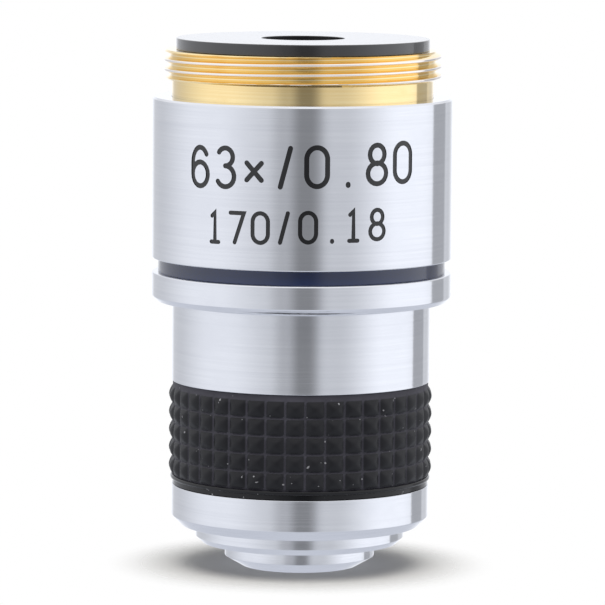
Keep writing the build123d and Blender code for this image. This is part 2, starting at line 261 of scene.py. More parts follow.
def add_camera():
    """Places the camera where the photo was taken from."""
    camera = bpy.data.objects.new("camera", bpy.data.cameras.new("camera"))
    scene.collection.objects.link(camera)
    camera.data.sensor_width = CAMERA_SENSOR
    camera.data.lens = CAMERA_LENS
    camera.data.clip_start = CAMERA_NEAREST
    camera.data.clip_end = CAMERA_FARTHEST
    pitch = Euler((math.radians(90 + CAMERA_PITCH_DEG), 0, 0)).to_matrix().to_4x4()
    roll = Matrix.Rotation(math.radians(CAMERA_ROLL_DEG), 4, "Z")
    camera.matrix_world = Matrix.Translation(Vector(CAMERA_PLACE) * MM) @ pitch @ roll
    scene.camera = camera


def build_world():
    """Builds a pale studio: walls with panels for the metal, an even room for all else, white behind."""
    world = bpy.data.worlds.new("studio")
    world.use_nodes = True
    scene.world = world
    t = Tree(world.node_tree)
    place = t.add("ShaderNodeTexCoord").outputs["Generated"]
    split = t.add("ShaderNodeSeparateXYZ", None, {"Vector": place}).outputs
    turn = t.math("ARCTAN2", split["X"], t.math("MULTIPLY", split["Y"], -1.0))
    turn_deg = t.math("MULTIPLY", turn, math.degrees(1))
    level = WALL_LEVEL
    for _, direction, half_width, soft_edge, brightness in STUDIO_PANELS:
        away = t.math("ABSOLUTE", t.math("WRAP", t.math("SUBTRACT", turn_deg, direction), -180.0, 180.0))
        past = t.share(away, half_width, half_width + soft_edge, smooth=True)
        level = t.mix(past, brightness, level)
    walls = t.add("ShaderNodeVectorMath", {"operation": "SCALE"}, {0: WALL_TINT, "Scale": level}).outputs[0]
    upward = t.share(split["Z"], CEILING_FROM, CEILING_FULL, smooth=True)
    downward = t.share(t.math("MULTIPLY", split["Z"], -1.0), FLOOR_FROM, FLOOR_FULL, smooth=True)
    roofed = t.mix_color(upward, walls, CEILING_COLOR)
    mirrored = t.mix_color(downward, roofed, FLOOR_COLOR)
    ray = t.add("ShaderNodeLightPath").outputs
    studio = t.add("ShaderNodeBackground", None, {"Color": mirrored}).outputs[0]
    room = t.add("ShaderNodeBackground", None, {"Strength": ROOM_LEVEL, "Color": WHITE}).outputs[0]
    white = t.add("ShaderNodeBackground", None, {"Color": WHITE}).outputs[0]
    lit = t.mix_shader(ray["Is Glossy Ray"], room, studio)
    direct = t.math("MAXIMUM", ray["Is Camera Ray"], ray["Is Transmission Ray"])
    t.add("ShaderNodeOutputWorld", None, {"Surface": t.mix_shader(direct, lit, white)})


def add_softbox():
    """Hangs one large soft lamp over the camera, turned to the object."""
    lamp = bpy.data.objects.new("softbox", bpy.data.lights.new("softbox", "AREA"))
    scene.collection.objects.link(lamp)
    lamp.data.shape = "DISK"
    lamp.data.size = SOFTBOX_SIZE
    lamp.data.energy = SOFTBOX_POWER
    lamp.location = SOFTBOX_PLACE
    lamp.rotation_euler = Vector(SOFTBOX_PLACE).to_track_quat("Z", "Y").to_euler()
    lamp.visible_camera = False
    lamp.visible_glossy = False


def axis_distance(t):
    """Gives the distance from the upright axis, in metres."""
    place = t.add("ShaderNodeTexCoord").outputs["Object"]
    return t.vector_math("LENGTH", t.vector_math("MULTIPLY", place, (1, 1, 0)), output="Value")


def add_ground(height):
    """Lays a ground under the tip, pale to light but grey where the camera sees it near the object, a painted
    shadow; away from the object it clears into the white behind.
    """
    shape = bpy.data.meshes.new("ground")
    corners = [(-1, -1), (1, -1), (1, 1), (-1, 1)]
    points = [(GROUND_RADIUS * x, GROUND_RADIUS * y, height) for x, y in corners]
    shape.from_pydata(points, [], [(0, 1, 2, 3)])
    ground = bpy.data.objects.new("ground", shape)
    scene.collection.objects.link(ground)
    material, t = new_material("white ground")
    clear = t.share(axis_distance(t), GROUND_CLEAR_FROM, GROUND_CLEAR_TO, smooth=True)
    ray = t.add("ShaderNodeLightPath").outputs
    # Camera rays see grey paper near the axis: a painted shadow under the object
    color = t.mix_color(ray["Is Camera Ray"], GROUND_COLOR, GROUND_PAINTED_SHADOW_COLOR)
    paper = t.add("ShaderNodeBsdfDiffuse", None, {"Color": color}).outputs[0]
    through = t.add("ShaderNodeBsdfTransparent").outputs[0]
    mirrored = t.math("MULTIPLY", ray["Is Glossy Ray"], GROUND_MIRRORED_CLEAR)
    underside = t.add("ShaderNodeNewGeometry").outputs["Backfacing"]
    see_through = t.math("MAXIMUM", t.math("MAXIMUM", clear, mirrored), underside)
    t.add("ShaderNodeOutputMaterial", None, {"Surface": t.mix_shader(see_through, paper, through)})
    shape.materials.append(material)
    ground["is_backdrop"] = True


# Materials


def new_material(name):
    """Makes an empty material and returns it with its tree."""
    material = bpy.data.materials.new(name)
    material.use_nodes = True
    return material, Tree(material.node_tree)


def shaded(material, t, inputs):
    """Ends a material in one principled shader."""
    shader = t.add("ShaderNodeBsdfPrincipled", None, inputs)
    t.add("ShaderNodeOutputMaterial", None, {"Surface": shader.outputs[0]})
    return material


def noise(t, across, along, detail=3.0, roughness=0.6):
    """Gives noise with its frequencies per millimetre: across in X and Y, along up the axis."""
    place = t.add("ShaderNodeTexCoord").outputs["Object"]
    scaled = t.vector_math("MULTIPLY", place, (across / MM, across / MM, along / MM))
    inputs = {"Vector": scaled, "Scale": 1.0, "Detail": detail, "Roughness": roughness}
    return t.add("ShaderNodeTexNoise", None, inputs).outputs["Fac"]


def radius_share(t, low, high):
    """Gives a share that goes from 0 to 1 between two radii, in millimetres."""
    return t.share(axis_distance(t), low * MM, high * MM)


def bumped(t, height, micrometres, below=None):
    """Turns a height share into a normal, with its depth in micrometres."""
    inputs = {"Height": height, "Distance": micrometres * MICRON, "Strength": 1.0}
    if below is not None:
        inputs["Normal"] = below
    return t.add("ShaderNodeBump", None, inputs).outputs[0]


def turned_metal(name, color, dull_color, roughness, line_depth, ring_depth, haze=0.0, crest_highlight=None):
    """Metal with the fine and coarse rings of the turning tool, faint stains and a thin haze; crest_highlight
    gives the radius past which the crests of a thread are painted pale, a painted highlight, and their
    colour."""
    material, t = new_material(name)
    fine = noise(t, across=0.10, along=24.0)
    coarse = noise(t, across=0.05, along=5.0)
    stained = t.share(noise(t, across=0.22, along=0.30, detail=4.0), 0.45, 0.8)
    lined = t.share(coarse, 0.35, 0.75)
    tint = t.mix_color(t.math("MAXIMUM", stained, lined), color, dull_color)
    # Pale thread crests: a painted highlight
    if crest_highlight:
        crest_highlight_from, crest_highlight_color = crest_highlight
        tint = t.mix_color(radius_share(t, crest_highlight_from, crest_highlight_from + 0.04), tint, crest_highlight_color)
    return shaded(material, t, {
        "Base Color": tint,
        "Metallic": 1.0 - haze,
        "Roughness": t.between(fine, roughness * 0.75, roughness * 1.25),
        "Normal": bumped(t, coarse, ring_depth, bumped(t, fine, line_depth)),
    })


def coated(name, color, worn_color, roughness, grain, depth, coat=0.0, ior=1.5):
    """Painted, anodised or moulded: an even colour with fine grain, thin worn places and a soft shine."""
    material, t = new_material(name)
    fine = noise(t, grain, grain, detail=2.0)
    cloud = noise(t, across=0.35, along=0.35, detail=4.0)
    return shaded(material, t, {
        "Base Color": t.mix_color(cloud, color, worn_color),
        "Roughness": t.between(fine, roughness * 0.8, roughness * 1.2),
        "Normal": bumped(t, fine, depth),
        "Coat Weight": coat,
        "Coat Roughness": 0.05,
        "IOR": ior,
    })


def moulded_rubber(name, tip_color, valley_dust_and_sheen_color, dust_color, roughness):
    """Black rubber: worn smooth at the tips, paler in the valleys, partly dust and partly a painted sheen,
    with fine grain and specks of dust; the bead and the foot below the knurl stay clean and smooth."""
    material, t = new_material(name)
    grain = noise(t, across=9.0, along=9.0, detail=2.0)
    cloud = noise(t, across=0.30, along=0.30, detail=4.0)
    specks = noise(t, across=2.6, along=2.6, detail=1.0)
    raised = radius_share(t, GRIP_LAND_RADIUS + 0.02, GRIP_LAND_RADIUS + 0.25 * GRIP_BUMP)
    place = t.add("ShaderNodeTexCoord").outputs["Object"]
    height = t.add("ShaderNodeSeparateXYZ", None, {"Vector": place}).outputs["Z"]
    knurled = t.share(height, (GRIP_KNURL_BOTTOM - 0.03) * MM, GRIP_KNURL_BOTTOM * MM)
    in_valley = t.math("MULTIPLY", t.math("SUBTRACT", 1.0, raised), knurled)
    # Paler valleys: partly dust, partly a painted sheen
    dust_and_sheen = t.math("MULTIPLY", in_valley, t.between(cloud, 0.3, 1.4))
    matt = t.math("MULTIPLY_ADD", raised, -0.10, t.between(grain, roughness, roughness + 0.12))
    smoothed = t.math("MULTIPLY_ADD", knurled, 0.75, 0.25)
    color = t.mix_color(dust_and_sheen, tip_color, valley_dust_and_sheen_color)
    return shaded(material, t, {
        "Base Color": t.mix_color(t.share(specks, 0.755, 0.77), color, dust_color),
        "Roughness": t.math("MULTIPLY", matt, smoothed),
        "Normal": bumped(t, grain, 4.0),
        "Specular IOR Level": 0.35,
    })


def optical_glass(name, color, ior):
    """Polished glass with a trace of dust on it."""
    material, t = new_material(name)
    dust = t.share(noise(t, across=6.0, along=6.0, detail=2.0), 0.62, 0.8)
    return shaded(material, t, {
        "Base Color": (*color, 1),
        "Roughness": t.math("MULTIPLY", dust, 0.25),
        "IOR": ior,
        "Transmission Weight": 1.0,
    })


# Turned shapes


class Shell:
    """A mesh in the making: faces with the exact normal of each corner; corners that meet are joined."""

    def __init__(self):
        self.places = {}
        self.faces = []
        self.normals = []
        self.finish_numbers = []

    def add(self, corners, normals, finish_number=0):
        """Adds one face, its corners in millimetres and anticlockwise seen from outside."""
        self.faces.append([self.places.setdefault(tuple(corner), len(self.places)) for corner in corners])
        self.normals.extend(normals)
        self.finish_numbers.append(finish_number)

    def mesh(self, name, materials):
        """Makes the mesh in metres."""
        shape = bpy.data.meshes.new(name)
        points = [(x * MM, y * MM, z * MM) for x, y, z in self.places]
        shape.from_pydata(points, [], self.faces)
        for material in materials:
            shape.materials.append(material)
        shape.polygons.foreach_set("material_index", self.finish_numbers)
        shape.polygons.foreach_set("use_smooth", [True] * len(self.faces))
        shape.update()
        self.crease(shape)
        shape.normals_split_custom_set(self.normals)
        return shape

    def crease(self, shape):
        """Marks each edge sharp where the faces on its two sides don't share their corner normals."""
        seen = {}
        for face in shape.polygons:
            corners = list(face.loop_indices)
            for corner, after in zip(corners, corners[1:] + corners[:1]):
                ends = sorted((corner, after), key=lambda end: shape.loops[end].vertex_index)
                normals = [Vector(self.normals[end]) for end in ends]
                seen.setdefault(shape.loops[corner].edge_index, []).append(normals)
        for edge, sides in seen.items():
            first = sides[0]
            apart = max((normal - first[place]).length for side in sides for place, normal in enumerate(side))
            shape.edges[edge].use_edge_sharp = apart > 0.001


def rounded(corners):
    """Rounds a closed outline of (radius, height, rounding) corners, material on its left, and gives each
    point as (radius, height, normal before it, normal after it)."""
    points = []
    for number, (radius, height, rounding) in enumerate(corners):
        here = Vector((radius, height))
        before = (here - Vector(corners[number - 1][:2])).normalized()
        after = (Vector(corners[(number + 1) % len(corners)][:2]) - here).normalized()
        normal_before = Vector((before.y, -before.x))
        normal_after = Vector((after.y, -after.x))
        turn = math.atan2(before.cross(after), before.dot(after))
        if not rounding:
            points.append((radius, height, normal_before, normal_after))
            continue
        side = math.copysign(1, turn)
        start = here - before * rounding * math.tan(abs(turn) / 2)
        centre = start - normal_before * side * rounding
        for step in range(ARC_STEPS + 1):
            normal = Matrix.Rotation(turn * step / ARC_STEPS, 2) @ normal_before
            place = centre + normal * side * rounding
            points.append((round(place.x, 4), round(place.y, 4), normal, normal))
    return points


def around(radius, height, step):
    """Gives the point at a step of the turn."""
    angle = math.tau * (step % TURN_STEPS) / TURN_STEPS
    return (radius * math.cos(angle), radius * math.sin(angle), height)


def turn_outline(shell, corners, left_out=None):
    """Turns a closed outline about Z; left_out names the radius of a wall that is made apart."""
    points = rounded(corners)
    for number, (radius, height, _, normal) in enumerate(points):
        next_radius, next_height, next_normal, _ = points[(number + 1) % len(points)]
        if left_out is not None and radius == next_radius == left_out:
            continue
        if (radius, height) == (next_radius, next_height):
            continue
        for step in range(TURN_STEPS):
            shell.add(
                (around(radius, height, step), around(radius, height, step + 1),
                 around(next_radius, next_height, step + 1), around(next_radius, next_height, step)),
                (around(*normal, step), around(*normal, step + 1),
                 around(*next_normal, step + 1), around(*next_normal, step)),
            )


def place_piece(name, shape, body, slot, *replaced):
    """Puts a finished mesh in the scene as a piece of the object."""
    piece = bpy.data.objects.new(name, shape)
    scene.collection.objects.link(piece)
    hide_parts(*replaced)
    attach(piece, body)
    return piece


def turned_piece(name, corners, body, slot, node):
    """Makes a piece that is one turned outline, in place of a CAD node."""
    shell = Shell()
    turn_outline(shell, corners)
    return place_piece(name, shell.mesh(name, [finishes[slot]]), body, slot, node)


def size_of(node):
    """Outer radius, bottom and top of a CAD node, in millimetres."""
    low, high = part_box(node)
    return round(high.x / MM, 4), round(low.z / MM, 4), round(high.z / MM, 4)


# Marking


def arc(centre, radii, start_deg, end_deg, steps=20):
    """Points on an upright oval, angles anticlockwise from its right."""
    points = []
    for step in range(steps + 1):
        angle = math.radians(start_deg + (end_deg - start_deg) * step / steps)
        points.append((centre[0] + radii[0] * math.cos(angle), centre[1] + radii[1] * math.sin(angle)))
    return points


# Each character is a list of cutter paths in a box one unit high; a path is closed if it ends at its start
CHARACTERS = {
    "0": [
        arc((0.29, 0.70), (0.27, 0.30), 0, 180) + arc((0.29, 0.30), (0.27, 0.30), 180, 360) + [(0.56, 0.70)],
    ],
    "1": [
        [(0.10, 0.88), (0.22, 1.0), (0.22, 0.0)],
        [(0.07, 0.0), (0.37, 0.0)],
    ],
    "3": [
        arc((0.28, 0.77), (0.22, 0.23), 150, -90),
        arc((0.28, 0.27), (0.26, 0.27), 90, -150),
    ],
    "6": [
        arc((0.29, 0.60), (0.26, 0.40), 35, 180) + [(0.03, 0.32)],
        arc((0.29, 0.31), (0.26, 0.31), 0, 360),
    ],
    "7": [
        [(0.02, 1.0), (0.52, 1.0), (0.18, 0.0)],
    ],
    "8": [
        arc((0.29, 0.76), (0.215, 0.24), 0, 360),
        arc((0.29, 0.27), (0.27, 0.27), 0, 360),
    ],
    "x": [
        [(0.08, 0.18), (0.48, 0.62)],
        [(0.08, 0.62), (0.48, 0.18)],
    ],
    "/": [
        [(0.16, 0.0), (0.42, 1.0)],
    ],
    ".": [
        [(0.29, 0.0), (0.29, 0.03)],
    ],
}


def cut_outlines(path, width):
    """Gives the outline of the groove that a round cutter leaves, or for a closed path its two outlines."""
    points = [Vector(point) for point in path]
    closed = (points[0] - points[-1]).length < 1e-6
    if closed:
        points.pop()
    count = len(points)
    sides = []
    for number, point in enumerate(points):
        before = points[number - 1] if number or closed else points[0]
        after = points[(number + 1) % count] if number + 1 < count or closed else points[-1]
        first = (point - before).normalized() if before != point else (after - point).normalized()
        second = (after - point).normalized() if after != point else first
        middle = (first + second).normalized()
        sides.append(Vector((-middle.y, middle.x)) / max(0.5, middle.dot(first)))
    left = [point + side * width / 2 for point, side in zip(points, sides)]
    right = [point - side * width / 2 for point, side in zip(points, sides)]
    if closed:
        return [left, right]
    end_cap = round_cap(points[-1], sides[-1] * width / 2)
    start_cap = round_cap(points[0], -sides[0] * width / 2)
    return [left + end_cap + right[::-1] + start_cap]


def round_cap(point, side):
    """Gives the points between one side of a groove's round end and the other."""
    turns = [Matrix.Rotation(-math.pi * step / CAP_STEPS, 2) for step in range(1, CAP_STEPS)]
    return [point + turn @ side for turn in turns]


def anticlockwise(outline):
    """Turns an outline round where it runs clockwise."""
    area = sum(outline[number - 1].cross(point) for number, point in enumerate(outline))
    return outline if area > 0 else outline[::-1]


def marking_grooves(radius):
    """Lists every groove of the marking as its outlines, laid flat: length round from the front, height."""
    grooves = []
    for line in MARKING_LINES:
        scale = line["height"] - line["stroke"]
        for number, character in enumerate(line["text"]):
            middle = radius * math.radians(line["first"] + number * line["pitch"])
            foot = line["bottom"] + line["stroke"] / 2 + middle * MARKING_RISE
            for path in CHARACTERS[character]:
                laid = [(middle + (x - CHARACTER_WIDTH / 2) * scale, foot + y * scale) for x, y in path]
                grooves.append([anticlockwise(outline) for outline in cut_outlines(laid, line["stroke"])])
    return grooves


def flat_wall(radius, bottom, top):
    """Lays the marked part of the wall flat as an upright strip and cuts it into triangles along the
    grooves. Gives its points, the triangles, which of them lie in a groove, and for the points that were
    there before the cut their column and height."""
    columns = range(-MARKED_STEPS, MARKED_STEPS + 1)
    points = []
    for column in columns:
        for height in (bottom, top):
            points.append(Vector((radius * math.tau * column / TURN_STEPS, height)))
    edges = []
    for number in range(len(columns)):
        edges.append((2 * number, 2 * number + 1))
        if number:
            edges.append((2 * number - 2, 2 * number))
            edges.append((2 * number - 1, 2 * number + 1))
    outlines = []
    groove_of = []
    for number, groove in enumerate(marking_grooves(radius)):
        for outline in groove:
            outlines.append(list(range(len(points), len(points) + len(outline))))
            groove_of.append(number)
            points.extend(outline)
    flat, _, triangles, sources, _, inside = delaunay_2d_cdt(points, edges, outlines, 0, 1e-5)
    in_groove = []
    for outlines_here in inside:
        grooves = [groove_of[outline] for outline in outlines_here]
        in_groove.append(any(grooves.count(groove) % 2 for groove in grooves))
    exact = {}
    for number, sources_here in enumerate(sources):
        for source in sources_here:
            if source < 2 * len(columns):
                exact[number] = (columns[source // 2], top if source % 2 else bottom)
    return flat, triangles, in_groove, exact


def marked_wall(shell, radius, bottom, top):
    """Adds the outer wall of the sleeve with the marking cut into its front: bright wall, painted grooves."""
    front_step = TURN_STEPS * FRONT_DEG // 360
    flat, triangles, in_groove, exact = flat_wall(radius, bottom, top)

    def angle_of(number):
        """Angle round the axis of a flat point."""
        return math.radians(FRONT_DEG) + flat[number].x / radius

    def rolled_up(number, depth=0.0):
        """Place of a flat point on the round wall, or at a depth under it."""
        if number in exact:
            column, height = exact[number]
            return around(radius, height, column + front_step)
        angle = angle_of(number)
        return ((radius - depth) * math.cos(angle), (radius - depth) * math.sin(angle), flat[number].y)

    def outward(number):
        """Direction away from the axis at a flat point."""
        return (math.cos(angle_of(number)), math.sin(angle_of(number)), 0.0)

    sides = {}
    for triangle, is_cut in zip(triangles, in_groove):
        depth = MARKING_DEPTH if is_cut else 0.0
        corners = [rolled_up(corner, depth) for corner in triangle]
        shell.add(corners, [outward(corner) for corner in triangle], int(is_cut))
        for place, corner in enumerate(triangle):
            sides[(corner, triangle[(place + 1) % 3])] = is_cut
    for (first, second), is_cut in sides.items():
        if is_cut and not sides.get((second, first), True):
            along = flat[second] - flat[first]
            inward = Vector((-along.y, along.x)).normalized()
            angle = angle_of(first)
            normal = (-math.sin(angle) * inward.x, math.cos(angle) * inward.x, inward.y)
            upper = [rolled_up(first), rolled_up(second)]
            lower = [rolled_up(second, MARKING_DEPTH), rolled_up(first, MARKING_DEPTH)]
            shell.add(upper + lower, [normal] * 4, 1)
    for step in range(front_step + MARKED_STEPS, front_step + TURN_STEPS - MARKED_STEPS):
        corners = (
            around(radius, bottom, step),
            around(radius, bottom, step + 1),
            around(radius, top, step + 1),
            around(radius, top, step),
        )
        shell.add(corners, [(x / radius, y / radius, 0.0) for x, y, _ in corners])


# Trees that make what follows a rule


class PieceTree(Tree):
    """A Geometry Nodes tree with named inputs, which ends in one material and plain geometry."""

    def __init__(self, name, inputs):
        super().__init__(bpy.data.node_groups.new(name, "GeometryNodeTree"))
        self.identifiers = {}
        kinds = {float: "NodeSocketFloat", int: "NodeSocketInt"}
        interface = self.tree.interface
        interface.new_socket("Geometry", in_out="OUTPUT", socket_type="NodeSocketGeometry")
        interface.new_socket("Geometry", in_out="INPUT", socket_type="NodeSocketGeometry")
        for key, value in inputs.items():
            socket = interface.new_socket(key, in_out="INPUT", socket_type=kinds[type(value)])
            self.identifiers[key] = socket.identifier
        material = interface.new_socket("Material", in_out="INPUT", socket_type="NodeSocketMaterial")
        self.identifiers["Material"] = material.identifier
        self.given = self.add("NodeGroupInput").outputs
        self.values = inputs

    def end(self, *parts):
        """Joins the parts and their coinciding corners, shades them, sets the material, closes the tree."""
        joined = self.add("GeometryNodeJoinGeometry")
        for part in parts:
            self.tree.links.new(part, joined.inputs[0])
        welded = self.add(
            "GeometryNodeMergeByDistance", None,
            {"Geometry": joined.outputs[0], "Distance": 0.5 * MICRON},
        )
        smooth = self.add("GeometryNodeSetShadeSmooth", None, {"Geometry": welded.outputs[0]})
        corner = self.add("GeometryNodeInputMeshEdgeAngle").outputs["Unsigned Angle"]
        sharp = self.add("FunctionNodeCompare", None, {0: corner, 1: math.radians(CREASE_DEG)}).outputs[0]
        creased = self.add(
            "GeometryNodeSetShadeSmooth", {"domain": "EDGE"},
            {"Geometry": smooth.outputs[0], "Selection": sharp, "Shade Smooth": False},
        )
        plain = self.add("GeometryNodeRealizeInstances", None, {"Geometry": creased.outputs[0]})
        finished = self.add(
            "GeometryNodeSetMaterial", None,
            {"Geometry": plain.outputs[0], "Material": self.given["Material"]},
        )
        self.add("NodeGroupOutput", None, {0: finished.outputs[0]})

    def run(self, name, base, material):
        """Runs the tree on a base mesh and gives the plain mesh that it makes."""
        carrier = bpy.data.objects.new(name, base)
        scene.collection.objects.link(carrier)
        modifier = carrier.modifiers.new(name, "NODES")
        modifier.node_group = self.tree
        for key, value in self.values.items():
            modifier[self.identifiers[key]] = value
        modifier[self.identifiers["Material"]] = material
        graph = bpy.context.evaluated_depsgraph_get()
        made = bpy.data.meshes.new_from_object(carrier.evaluated_get(graph))
        carrier.modifiers.remove(modifier)
        bpy.data.objects.remove(carrier)
        made.name = name
        return made


def rolled_grid(t, columns, rows):
    """Adds a grid and gives it with its share round and its share up, both from 0 to 1."""
    grid = t.add(
        "GeometryNodeMeshGrid", None,
        {
            "Size X": 1.0,
            "Size Y": 1.0,
            "Vertices X": t.math("ADD", columns, 1.0),
            "Vertices Y": t.math("ADD", rows, 1.0),
        },
    ).outputs["Mesh"]
    place = t.add("GeometryNodeInputPosition").outputs[0]
    split = t.add("ShaderNodeSeparateXYZ", None, {"Vector": place}).outputs
    return grid, t.math("ADD", split["X"], 0.5), t.math("ADD", split["Y"], 0.5)


def wrap(t, grid, turn, radius, height):
    """Moves the grid's points to a turn in radians, a radius and a height."""
    x = t.math("MULTIPLY", radius, t.math("COSINE", turn))
    y = t.math("MULTIPLY", radius, t.math("SINE", turn))
    place = t.add("ShaderNodeCombineXYZ", None, {"X": x, "Y": y, "Z": height}).outputs[0]
    return t.add("GeometryNodeSetPosition", None, {"Geometry": grid, "Position": place}).outputs[0]


def knurl_tree():
    """Rows and columns of pillow-shaped pyramids with sharp valleys, rolled round a ring."""
    t = PieceTree("knurled band", {
        "Columns": GRIP_COLUMNS,
        "Rows": GRIP_ROWS,
        "Steps in a Cell": GRIP_CELL_STEPS,
        "Land Radius": GRIP_LAND_RADIUS * MM,
        "Bump Height": GRIP_BUMP * MM,
        "Roundness": GRIP_ROUNDNESS,
        "Bottom": GRIP_KNURL_BOTTOM * MM,
        "Row Height": GRIP_ROW_HEIGHT * MM,
    })
    given = t.given
    columns = t.math("MULTIPLY", given["Columns"], given["Steps in a Cell"])
    rows = t.math("MULTIPLY", given["Rows"], given["Steps in a Cell"])
    grid, round_share, up_share = rolled_grid(t, columns, rows)
    heights = []
    for share, count in ((round_share, given["Columns"]), (up_share, given["Rows"])):
        in_cell = t.math("FRACT", t.math("MULTIPLY", share, count))
        from_middle = t.math("ABSOLUTE", t.math("MULTIPLY_ADD", in_cell, 2.0, -1.0))
        heights.append(t.math("SUBTRACT", 1.0, from_middle))
    pyramid = t.math("MINIMUM", *heights)
    pillow = t.math("SUBTRACT", 1.0, t.math("POWER", t.math("SUBTRACT", 1.0, pyramid), given["Roundness"]))
    radius = t.math("MULTIPLY_ADD", pillow, given["Bump Height"], given["Land Radius"])
    rows_up = t.math("MULTIPLY", up_share, given["Rows"])
    height = t.math("MULTIPLY_ADD", rows_up, given["Row Height"], given["Bottom"])
    t.end(given["Geometry"], wrap(t, grid, t.math("MULTIPLY", round_share, math.tau), radius, height))
    return t


def thread_tree(crest_radius, bottom, top):
    """A right-handed helical thread with rounded crests and roots, chamfered at both ends."""
    t = PieceTree("mounting thread", {
        "Columns": THREAD_COLUMNS,
        "Rows": THREAD_ROWS,
        "Crest Radius": crest_radius * MM,
        "Depth": THREAD_DEPTH * MM,
        "Pitch": THREAD_PITCH * MM,
        "Chamfer": THREAD_CHAMFER * MM,
        "Crest at Front": THREAD_FRONT_CREST * MM,
        "Bottom": bottom * MM,
        "Top": top * MM,
        "Radius Below": RELIEF_RADIUS * MM,
        "Radius Above": PLUG_BORE_RADIUS * MM,
    })
    given = t.given
    rows = t.math("ADD", given["Rows"], 2.0)
    grid, round_share, up_share = rolled_grid(t, given["Columns"], rows)
    row = t.math("MULTIPLY", up_share, rows)
    wall_share = t.share(row, 1.0, t.math("ADD", given["Rows"], 1.0))
    length = t.math("SUBTRACT", given["Top"], given["Bottom"])
    height = t.math("MULTIPLY_ADD", wall_share, length, given["Bottom"])
    climb = t.math("MULTIPLY", t.math("SUBTRACT", round_share, FRONT_DEG / 360), given["Pitch"])
    above_crest = t.math("SUBTRACT", t.math("SUBTRACT", height, given["Crest at Front"]), climb)
    in_pitch = t.math("FRACT", t.math("DIVIDE", above_crest, given["Pitch"]))
    tooth = t.math("ABSOLUTE", t.math("MULTIPLY_ADD", in_pitch, 2.0, -1.0))
    flank = t.share(tooth, THREAD_LAND_SHARE, 1 - THREAD_LAND_SHARE, smooth=True)
    cut = t.math("MULTIPLY", t.math("SUBTRACT", 1.0, flank), given["Depth"])
    threaded = t.math("SUBTRACT", given["Crest Radius"], cut)
    above_bottom = t.math("SUBTRACT", height, given["Bottom"])
    below_top = t.math("SUBTRACT", given["Top"], height)
    end_distance = t.math("MINIMUM", above_bottom, below_top)
    end_radius = t.math("ADD", t.math("SUBTRACT", given["Crest Radius"], given["Chamfer"]), end_distance)
    wall_radius = t.math("MINIMUM", threaded, end_radius)
    is_below = t.math("LESS_THAN", row, 0.5)
    is_above = t.math("GREATER_THAN", row, t.math("ADD", given["Rows"], 1.5))
    lower = t.mix(is_below, wall_radius, given["Radius Below"])
    radius = t.mix(is_above, lower, given["Radius Above"])
    t.end(given["Geometry"], wrap(t, grid, t.math("MULTIPLY", round_share, math.tau), radius, height))
    return t


def spring_tree():
    """A round wire wound to a helix, closed at both ends."""
    t = PieceTree("wound wire", {
        "Turns": SPRING_TURNS,
        "Coil Radius": SPRING_COIL_RADIUS * MM,
        "Wire Radius": SPRING_WIRE_RADIUS * MM,
        "Bottom": SPRING_BOTTOM * MM,
        "Top": SPRING_TOP * MM,
        "Steps": SPRING_STEPS,
        "Wire Steps": SPRING_WIRE_STEPS,
    })
    given = t.given
    line = t.add("GeometryNodeMeshLine", {"mode": "OFFSET"}, {"Count": given["Steps"], "Offset": (1, 0, 0)})
    path = t.add("GeometryNodeMeshToCurve", None, {"Mesh": line.outputs[0]}).outputs[0]
    index = t.add("GeometryNodeInputIndex").outputs[0]
    share = t.math("DIVIDE", index, t.math("SUBTRACT", given["Steps"], 1.0))
    turn = t.math("MULTIPLY", t.math("MULTIPLY", share, given["Turns"]), math.tau)
    length = t.math("SUBTRACT", given["Top"], given["Bottom"])
    height = t.math("MULTIPLY_ADD", share, length, given["Bottom"])
    helix = wrap(t, path, turn, given["Coil Radius"], height)
    section = t.add(
        "GeometryNodeCurvePrimitiveCircle", None,
        {"Resolution": given["Wire Steps"], "Radius": given["Wire Radius"]},
    ).outputs[0]
    wire = t.add(
        "GeometryNodeCurveToMesh", None,
        {"Curve": helix, "Profile Curve": section, "Fill Caps": True},
    ).outputs[0]
    t.end(wire)
    return t


# Pieces


def build_spring():
    """Return spring of round wire."""
    empty = bpy.data.meshes.new("no_base")
    shape = spring_tree().run("return_spring_wire", empty, finishes["steel"])
    spring = place_piece("return_spring_wire", shape, "body", "steel", "return_spring")
    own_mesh(spring)


def build_sleeve():
    """Upper sleeve, with the marking cut and filled with paint on its front."""
    radius, bottom, top = size_of("upper_sleeve")
    wall_bottom = round(bottom + SLEEVE_ROUNDING, 4)
    wall_top = round(top - SLEEVE_BEVEL, 4)
    shell = Shell()
    turn_outline(shell, [
        (SLEEVE_BORE_RADIUS, bottom, 0),
        (radius, bottom, SLEEVE_ROUNDING),
        (radius, wall_top, 0),
        (radius - SLEEVE_BEVEL, top, 0),
        (SLEEVE_BORE_RADIUS, top, 0),
    ], left_out=radius)
    marked_wall(shell, radius, wall_bottom, wall_top)
    shape = shell.mesh("upper_sleeve_marked", [finishes["satin_chrome"], finishes["marking"]])
    place_piece("upper_sleeve_marked", shape, "body", "satin_chrome", "upper_sleeve")


def open_ring(corners, steps):
    """Turns an open line of (radius, height) corners, material on its left, for a tree to close."""
    shape = bpy.data.meshes.new("open_ring")
    points = []
    for radius, height in corners:
        for step in range(steps):
            turn = math.tau * step / steps
            points.append((radius * MM * math.cos(turn), radius * MM * math.sin(turn), height * MM))
    faces = []
    for line in range(len(corners) - 1):
        for step in range(steps):
            here, after = line * steps, line * steps + steps
            faces.append((here + step, here + (step + 1) % steps, after + (step + 1) % steps, after + step))
    shape.from_pydata(points, [], faces)
    return shape


